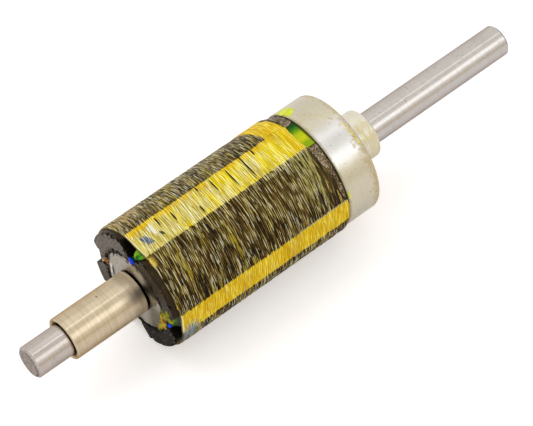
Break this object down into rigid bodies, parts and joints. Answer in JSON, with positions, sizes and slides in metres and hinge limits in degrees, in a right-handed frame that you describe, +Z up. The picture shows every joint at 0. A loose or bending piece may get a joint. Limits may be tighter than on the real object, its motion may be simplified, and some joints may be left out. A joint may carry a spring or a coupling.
{
  "type": "brushless motor rotor",
  "caption": "Permanent-magnet rotor of a small brushless motor: stepped steel shaft, core with bread-loaf magnets, yellow aramid-fibre winding, end ring, spacer sleeve and collar.",
  "frame": {"origin": "on the rotor's axis, half way along its overall length", "axes": "+X along the axis from the short front journal to the long rear journal, +Z up as the rotor lies at rest on a flat of its winding"},
  "size_m": [0.087, 0.019, 0.019],
  "materials": {
    "ground_steel": "ground",
    "sleeve_metal": "turned, champagne tone",
    "core_steel": "turned",
    "magnet": "sintered and ground",
    "adhesive": "cured adhesive",
    "resin": "cured resin",
    "amber_resin": "cured resin",
    "sealant": "glossy",
    "yarn": "resin-soaked aramid yarn",
    "ring_metal": "satin",
    "collar_steel": "turned"
  },
  "bodies": {
    "root": {"shaft": "ground_steel", "front_sleeve": "sleeve_metal", "rotor_core": "core_steel", "magnet_1": "magnet", "magnet_2": "magnet", "magnet_3": "magnet", "magnet_4": "magnet", "adhesive_bed_1": "adhesive", "adhesive_bed_2": "adhesive", "adhesive_bed_3": "adhesive", "adhesive_bed_4": "adhesive", "gap_resin_1": "amber_resin", "gap_resin_2": "resin", "gap_resin_3": "resin", "gap_resin_4": "resin", "sealant_drop_1": "sealant", "sealant_drop_2": "sealant", "fibre_winding": "yarn", "end_ring": "ring_metal", "rear_collar": "collar_steel"}
  },
  "joints": []
}
